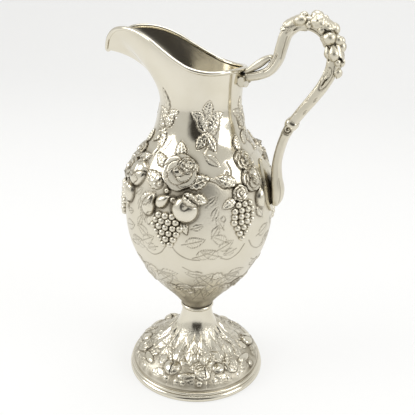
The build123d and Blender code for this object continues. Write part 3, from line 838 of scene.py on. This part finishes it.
handleLines = [   # points, width and depth of the lines cut along its sides
    ([(58, 0.2), (60, 1.2), (62, 2.2), (66, 3.0)], 0.5, 0.45),
    ([(74, 1.7), (78, 2.5), (82, 3.4)], 0.55, 0.6), ([(66, 1.9), (69, 2.7), (72, 3.5)], 0.4, 0.4),
    ([(118, 3.3), (116, 4.1), (112, 4.9)], 0.5, 0.5),
    ([(112, 5.7), (118, 6.6), (121, 7.6), (122, 8.6), (120, 9.6), (116, 10.4)], 0.6, 0.8),
    ([(92, 11.15), (92, 11.6), (93, 12.05)], 0.7, 0.9),
    ([(60, 11.0), (64, 11.8), (76, 12.2), (100, 12.25), (116, 11.9)], 0.5, 0.45),
    ([(124, 12.6), (124, 13.8), (124, 14.9)], 0.45, 0.35),
    ([(118, 15.6), (121, 16.6), (122, 17.6), (122, 18.4)], 0.55, 0.6),
    ([(126, 18.4), (127, 19.4), (127, 20.4), (126, 21.6)], 0.9, 1.2),
    ([(56, 18.9), (57, 20.0), (58, 21.2)], 0.45, 0.4),
    ([(86, 5.3), (94, 5.1), (100, 5.25), (96, 5.45)], 0.4, 0.4),
    ([(66, 5.3), (60, 5.05), (56, 4.8)], 0.45, 0.4),
]
gripScrolls = [(112, 13.2), (116, 14.1), (64, 12.9), (62, 13.8)]   # middles of the small scrolls


def punchHandle(field, knots):
    def at(degrees, station):
        return degrees, float(np.interp(station, range(len(knots)), knots))

    for side in (1, -1):
        for points, width, deep in handleLines:
            chaseLine(field, [at(side * d, k) for d, k in points], width, deep)
        for d, k in gripScrolls:
            chaseLine(field, [at(side * (d + 5), k - 0.16), at(side * (d + 9), k),
                              at(side * (d + 2), k + 0.12),
                              at(side * (d - 2), k + 0.02), at(side * (d + 3), k - 0.03)], 0.38, 0.35)
        # the rosette where grip and lower arm meet
        middle = at(side * 88, 15.35)
        x, y = localPlace(field, middle)
        rho, theta = np.hypot(x, y), np.arctan2(y, x)
        coil = np.cos(turn * (rho / 2.1 + side * theta / turn))
        form = np.where(rho < 4.0, 1.1 + 0.5 * coil * (rho > 0.5), 0) * (1 - easeBetween(3.3, 4.1, rho))
        field["height"] = np.maximum(field["height"], form)
        field["cut"] = np.maximum(field["cut"],
                                  0.4 * np.exp(-((rho - 4.2) / 0.6) ** 2) + 0.35 * (rho < 3.4)
                                  * (coil < -0.2))
    # the arm is a little slimmer than the grip above it
    field["height"] = field["height"] - 0.35 * easeBetween(at(0, 15.7)[1], at(0, 16.1)[1], field["run"])


def makeHandle(material):
    lay = layHandle()
    knots = lay[2]
    for name, node, first, last in handle["lengths"]:
        at = np.linspace(knots[first], knots[last], int((knots[last] - knots[first]) / handle["pitch"]))
        phi = np.arange(handle["columns"]) / handle["columns"] * turn
        grid, angle = np.meshgrid(at, phi, indexing="ij")
        field = newField(np.degrees(angle), grid, np.full(grid.shape, handle["reach"]), 360.0)
        punchHandle(field, knots)
        height = finishField(field)
        place, out = handleSkin(lay, grid, angle)
        hollow = np.clip(0.6 * hollowsOf(height, 3, 3, 0.7) + 1.9 * np.clip(field["cut"] - 0.05, 0, 1), 0,
                         1)
        place = place + out * height[..., None]
        piece = tubeMesh(name, place,
                         marks={"hollow": hollow, "stipple": 0 * hollow, "satin": 0.75 + 0 * hollow})
        dress(piece, material, "silver_cast", node)
    makeCrestFruit(lay, material)
    makeThumb(material)


thumbLine = [(35.6, 264.8, 1.5, 4.0), (40.6, 268.0, 2.4, 4.6), (45.8, 271.6, 2.9, 4.8),
             (50.6, 275.0, 2.3, 4.8),
             # as the handle's stations
             (54.0, 276.2, 1.5, 4.4), (55.2, 273.6, 1.2, 4.0), (53.0, 271.8, 0.9, 3.6)]


def makeThumb(material):  # the rolled leaf on the rim at the handle
    fine = smoothLine(thumbLine, 1200)
    run = runAlong(fine[:, :2])
    phi = np.arange(handle["columns"]) / handle["columns"] * turn
    grid, angle = np.meshgrid(np.linspace(0, run[-1], 80), phi, indexing="ij")
    place, out = handleSkin((fine, run, None), grid, angle)
    ribs = np.cos(turn * place[..., 1] / 3.0) * (np.abs(np.cos(angle)) > 0.3)
    place = place + out * (0.16 * ribs)[..., None]
    hollow = np.clip(-0.5 * ribs, 0, 1)
    piece = tubeMesh("thumbLeaf", place,
                     marks={"hollow": hollow, "stipple": 0 * hollow, "satin": 0.6 + 0 * hollow})
    dress(piece, material, "silver_polished", "thumb_scroll")


def shapeFruit(kind, a, b, c):  # a unit ball's points turned into a fruit, a along it and c outwards
    if kind == "pear":
        narrow = 1 - 0.45 * easeBetween(-0.3, 0.9, -a)
        b, c = b * narrow, c * narrow
    if kind == "peach":
        crease = 1 - 0.12 * np.exp(-((b + 0.25 * (1 - a**2)) / 0.13) ** 2) * (c > 0)
        a, b, c = a * crease, b * crease, c * crease
    if kind == "apple":
        c = c - 0.4 * np.exp(-(a**2 + b**2) / 0.05) * (c > 0)
    if kind == "rose":
        theta, rho = np.arctan2(b, a), np.hypot(a, b)
        wave = np.abs(np.cos(2.5 * theta + 0.6))
        c = c * (0.62 + 0.2 * wave * easeBetween(0.35, 0.8,
                rho)) + 0.3 * np.exp(-((rho - 0.18) / 0.13) ** 2) * (c > 0)
        a, b = a * (0.86 + 0.14 * wave), b * (0.86 + 0.14 * wave)
    return a, b, c


def makeCrestFruit(lay, material):
    knots = lay[2]
    bm = bmesh.new()
    listed = [(1, k) for k in crestFruit + crestMiddle] + [(-1, k) for k in crestFruit]
    for side, (kind, station, degrees, size, sunk) in listed:
        at = np.interp(station + (0.12 if side < 0 else 0), range(len(knots)), knots)
        place, out = handleSkin(lay, np.array([at]), np.radians([side * degrees]))
        ahead, _ = handleSkin(lay, np.array([at + 0.5]), np.radians([side * degrees]))
        along = (ahead - place)[0] / np.linalg.norm(ahead - place)
        across = np.cross(out[0], along)
        made = bmesh.ops.create_icosphere(bm, subdivisions=3, radius=1.0)["verts"]
        ball = np.array([v.co for v in made])
        a, b, c = shapeFruit(kind, ball[:, 0], ball[:, 1], ball[:, 2])
        size = [k * 1.12 for k in size]
        spot = place[0] + out[0] * size[2] * (0.42 - sunk * 0.5)
        put = spot + a[:, None] * along * size[0] + b[:, None] * across * size[1] + c[:,
                None] * out[0] * size[2]
        for v, co in zip(made, put * mm):
            v.co = co
    for side in (1, -1):
        for station, degrees, length, half, heading, lift in crestLeaves:
            made = bmesh.ops.create_grid(bm, x_segments=18, y_segments=10, size=1.0)["verts"]
            flat = np.array([v.co for v in made])
            t, w = (flat[:, 0] + 1) / 2, flat[:, 1]
            reach = half * (np.clip(np.sin(math.pi * np.clip(t, 0.0, 0.995) ** 0.8), 0, 1) ** 0.75 + 0.04)
            reach = reach * (1 - 0.16 * (0.5 + 0.5 * np.cos(turn * t * 5)))
            h = math.radians(heading)
            along, across = t * length, w * reach
            at = np.interp(station, range(len(knots)), knots) + along * math.cos(h) - across * math.sin(h)
            around = np.radians(side * degrees) + side * (along * math.sin(h) + across
                    * math.cos(h)) / handle["reach"]
            place, out = handleSkin(lay, at, around)
            rise = 0.45 + lift * t**1.5 + 0.3 * w**2 * half / 3 - 0.3 * np.exp(-(w / 0.14) ** 2)
            rise = rise + 0.10 * np.cos(turn * (t * 5 - np.abs(w) * 0.8))
            for v, co in zip(made, (place + out * rise[:, None]) * mm):
                v.co = co
            faces = list({f for v in made for f in v.link_faces})
            bmesh.ops.solidify(bm, geom=faces, thickness=-side * 0.0007)
    bmesh.ops.recalc_face_normals(bm, faces=bm.faces)
    for f in bm.faces:
        f.smooth = True
    piece = pieceFrom(bm, "crestFruit")
    piece.data.set_sharp_from_angle(angle=math.radians(50))
    mark(piece.data, "satin", np.full(len(piece.data.vertices), 0.9))
    dress(piece, material, "silver_cast")


# Finishes

def linear(hexCode):  # sRGB hex to linear
    out = []
    for k in (1, 3, 5):
        c = int(hexCode[k:k + 2], 16) / 255
        out.append(c / 12.92 if c <= 0.04045 else ((c + 0.055) / 1.055) ** 2.4)
    return (*out, 1.0)


def addNode(tree, kind, settings=None, inputs=None):
    node = tree.nodes.new(kind)
    for key, value in (settings or {}).items():
        setattr(node, key, value)
    for key, value in (inputs or {}).items():
        if isinstance(value, bpy.types.NodeSocket):
            tree.links.new(value, node.inputs[key])
        else:
            node.inputs[key].default_value = value
    return node


def remap(tree, value, low=0.0, high=1.0, newLow=0.0, newHigh=1.0):
    span = {"Value": value, "From Min": low, "From Max": high, "To Min": newLow, "To Max": newHigh}
    return addNode(tree, "ShaderNodeMapRange", None, span).outputs["Result"]


def maths(tree, operation, *values, clamp=False):
    return addNode(tree, "ShaderNodeMath", {"operation": operation, "use_clamp": clamp},
                   dict(enumerate(values))).outputs[0]


def mixColour(tree, factor, first, second):
    return addNode(tree, "ShaderNodeMix", {"data_type": "RGBA"},
                   {"Factor": factor, 6: first, 7: second}).outputs[2]


def noise(tree, coords, size, detail):  # size in mm
    inputs = {"Vector": coords, "Scale": 1000 / size, "Detail": detail}
    return addNode(tree, "ShaderNodeTexNoise", None, inputs).outputs["Fac"]


def bumped(tree, height, strength, distance, **more):
    inputs = {"Height": height, "Strength": strength, "Distance": distance, **more}
    return addNode(tree, "ShaderNodeBump", None, inputs).outputs[0]


finishes = {
    "bright": "#e6e1d4",      # clean polished silver
    "ivory": "#d0c8b1",       # silver with a light warm tone
    "toned": "#5d4d2d",       # tarnish left in the hollows, and painted shade in crevices
    "deep": "#241e13",        # tarnish at the bottom of chased lines, and the deepest painted shade in tight crevices
    "cloud": 22.0,            # mm across a cloud of the tone
    "scuff": 3.5,             # mm across the faint scuffs of handling
    "creviceReach": 0.004,    # metres from which a neighbouring face closes a crevice and paints shade into it
}


def silver(name, roughness, satinRoughness, tone, stippleMm, stippleDepth):
    material = bpy.data.materials.new(name)
    material.use_nodes = True
    tree = material.node_tree
    tree.nodes.clear()
    coords = addNode(tree, "ShaderNodeTexCoord").outputs["Object"]
    hollow, stipple, satin = (addNode(tree, "ShaderNodeAttribute", {"attribute_name": key}).outputs["Fac"]
                              for key in ("hollow", "stipple", "satin"))
    cloud = noise(tree, coords, finishes["cloud"], 4.0)
    # tarnish lies in marked hollows; painted shade from ambient occlusion darkens crevices, also between
    # pieces; both in patches
    creviceShade = addNode(tree, "ShaderNodeAmbientOcclusion", {"samples": 8},
                      {"Distance": finishes["creviceReach"]}).outputs["AO"]
    tarnishAndShade = maths(tree, "ADD", hollow, remap(tree, creviceShade, 0.75, 0.2))
    tarnishAndShade = maths(tree, "MULTIPLY", tarnishAndShade, remap(tree, cloud, 0.3, 0.7, 0.45, 1.0), clamp=True)
    warm = remap(tree, cloud, 0.35, 0.75, tone * 0.5, tone)
    base = mixColour(tree, warm, linear(finishes["bright"]), linear(finishes["ivory"]))
    # painted shade and tarnish together darken the colour towards the toned and deep browns
    base = mixColour(tree, remap(tree, tarnishAndShade, newHigh=0.85), base, linear(finishes["toned"]))
    base = mixColour(tree, remap(tree, tarnishAndShade, low=0.7, newHigh=0.7), base, linear(finishes["deep"]))
    rough = remap(tree, satin, newLow=roughness, newHigh=satinRoughness)
    rough = maths(tree, "MULTIPLY_ADD", tarnishAndShade, 0.25, rough, clamp=True)
    dots = addNode(tree, "ShaderNodeTexVoronoi", {"feature": "SMOOTH_F1"},
                   {"Vector": coords, "Scale": 1000 / stippleMm}).outputs["Distance"]
    pits = maths(tree, "MULTIPLY", dots, stipple)
    bump = bumped(tree, pits, stippleDepth, 0.0006)
    scuffs = noise(tree, coords, finishes["scuff"], 3.0)
    bump = bumped(tree, scuffs, 0.12, 0.0004, Normal=bump)
    shader = addNode(tree, "ShaderNodeBsdfPrincipled", None,
                     {"Base Color": base, "Metallic": 1.0, "Roughness": rough, "Normal": bump})
    addNode(tree, "ShaderNodeOutputMaterial", None, {"Surface": shader.outputs[0]})
    return material


print("materials")
# sterling sheet, buffed to a mirror
polishedSilver = silver("polishedSilver", 0.12, 0.30, 0.55, 1.2, 0.0)
# repousse sheet, matted with punches
chasedSilver = silver("chasedSilver", 0.12, 0.38, 0.55, 1.2, 0.6)
# cast silver, filed and half polished
castSilver = silver("castSilver", 0.22, 0.40, 0.75, 1.1, 0.0)

print("bowl")
seam = makeBowl(chasedSilver)
print("neck")
makeNeck(polishedSilver, seam)
makeRimWire(polishedSilver)
print("foot")
makeFoot(chasedSilver)
print("handle")
makeHandle(castSilver)

for name, material in [("foot_band", polishedSilver), ("waist_collar", castSilver),
                       ("handle_root", castSilver), ("handle_leaf_collar", castSilver),
                       ("handle_body_plate", castSilver)]:
    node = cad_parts[name]
    node.data.materials.clear()
    node.data.materials.append(material)


# Stage, light and camera

stage = {"half": 3.0, "back": 2.2, "cove": 0.9, "wall": 2.6, "colour": "#fbfbfa", "shadowShare": 0.35}


def makeStage():
    bm = bmesh.new()
    bmesh.ops.create_grid(bm, x_segments=1, y_segments=1, size=1.0)
    for v in bm.verts:
        v.co = Vector((v.co.x * stage["half"], stage["back"] if v.co.y > 0 else -stage["half"], 0))
    back = [e for e in bm.edges if all(v.co.y > 0 for v in e.verts)]
    made = bmesh.ops.extrude_edge_only(bm, edges=back)
    bmesh.ops.translate(bm, verts=[g for g in made["geom"] if isinstance(g, bmesh.types.BMVert)],
                        vec=(0, 0, stage["wall"]))
    bmesh.ops.bevel(bm, geom=back, offset=stage["cove"], offset_type="OFFSET", segments=16, profile=0.5,
                    affect="EDGES", material=-1)
    for f in bm.faces:
        f.smooth = True
    mesh = bpy.data.meshes.new("sweep")
    bm.to_mesh(mesh)
    bm.free()
    sweep = bpy.data.objects.new("sweep", mesh)
    bpy.context.scene.collection.objects.link(sweep)
    material = bpy.data.materials.new("paperSweep")     # matt white seamless paper
    material.use_nodes = True
    tree = material.node_tree
    tree.nodes.clear()
    path = addNode(tree, "ShaderNodeLightPath")
    seen = maths(tree, "MAXIMUM", path.outputs["Is Camera Ray"], path.outputs["Is Glossy Ray"])
    seen = maths(tree, "MAXIMUM", seen, path.outputs["Is Transmission Ray"])
    share = maths(tree, "MULTIPLY", seen, 1 - stage["shadowShare"])
    paper = addNode(tree, "ShaderNodeBsdfDiffuse", None, {"Color": linear(stage["colour"])})
    glow = addNode(tree, "ShaderNodeEmission", None, {"Color": linear(stage["colour"]), "Strength": 1.0})
    mix = addNode(tree, "ShaderNodeMixShader", None, {0: share, 1: paper.outputs[0], 2: glow.outputs[0]})
    addNode(tree, "ShaderNodeOutputMaterial", None, {"Surface": mix.outputs[0]})
    mesh.materials.append(material)


lighting = {"sky": "#f4f4f2", "skyStrength": 0.8, "gapColour": "#4a4744",
            "gapTowards": (0.357, -0.934, 0.12), "gapEdge": (0.80, 0.93)}


def makeLight():
    world = bpy.data.worlds.new("studio")
    bpy.context.scene.world = world
    world.use_nodes = True
    tree = world.node_tree
    tree.nodes.clear()
    direction = addNode(tree, "ShaderNodeTexCoord").outputs["Generated"]
    # a dark gap in the white tent, on the side the picture is taken from
    toLens = Vector(lighting["gapTowards"]).normalized()
    facing = addNode(tree, "ShaderNodeVectorMath", {"operation": "DOT_PRODUCT"},
                     {0: direction, 1: toLens}).outputs["Value"]
    gap = addNode(tree, "ShaderNodeMapRange", {"interpolation_type": "SMOOTHSTEP"},
                  {"Value": facing, "From Min": lighting["gapEdge"][0],
                   "From Max": lighting["gapEdge"][1]}).outputs["Result"]
    colour = mixColour(tree, gap, linear(lighting["sky"]), linear(lighting["gapColour"]))
    sky = addNode(tree, "ShaderNodeBackground", None,
                  {"Color": colour, "Strength": lighting["skyStrength"]})
    addNode(tree, "ShaderNodeOutputWorld", None, {"Surface": sky.outputs[0]})
    for name, place, size, power in [("leftSoftbox", (-0.9, -0.5, 0.9), 0.7, 5.0),
                                     ("rightSoftbox", (1.1, -0.1, 0.7), 0.6, 3.5),
                                     ("topSoftbox", (0.1, 0.1, 1.4), 0.8, 5.0)]:
        lamp = bpy.data.lights.new(name, "AREA")
        lamp.shape = "SQUARE"
        lamp.size = size
        lamp.energy = power
        thing = bpy.data.objects.new(name, lamp)
        thing.location = place
        thing.rotation_euler = (Vector((0, 0, 0.15)) - Vector(place)).to_track_quat("-Z", "Y").to_euler()
        bpy.context.scene.collection.objects.link(thing)


view = {"place": (157.20, -411.02, 325.58), "forward": (-0.31794, 0.87353, -0.36859),
        "right": (0.93969, 0.34202, 0.0),
        "roll": 1.3857, "focalPixels": 567.695, "framePixels": 415, "sensor": 36.0}


def makeCamera():
    camera = bpy.data.cameras.new("camera")
    camera.sensor_fit = "HORIZONTAL"
    camera.sensor_width = view["sensor"]
    camera.lens = view["focalPixels"] / view["framePixels"] * view["sensor"]
    camera.clip_start = 0.02
    thing = bpy.data.objects.new("camera", camera)
    forward, right = Vector(view["forward"]).normalized(), Vector(view["right"]).normalized()
    up = right.cross(forward).normalized()
    r = math.radians(view["roll"])
    side = right * math.cos(r) + up * math.sin(r)
    top = up * math.cos(r) - right * math.sin(r)
    turned = Matrix((side, top, -forward)).transposed().to_4x4()
    thing.matrix_world = Matrix.Translation(Vector(view["place"]) * mm) @ turned
    bpy.context.scene.collection.objects.link(thing)
    bpy.context.scene.camera = thing


print("stage")
makeStage()
makeLight()
makeCamera()
bpy.context.scene.view_settings.view_transform = "Standard"

bpy.context.view_layer.update()
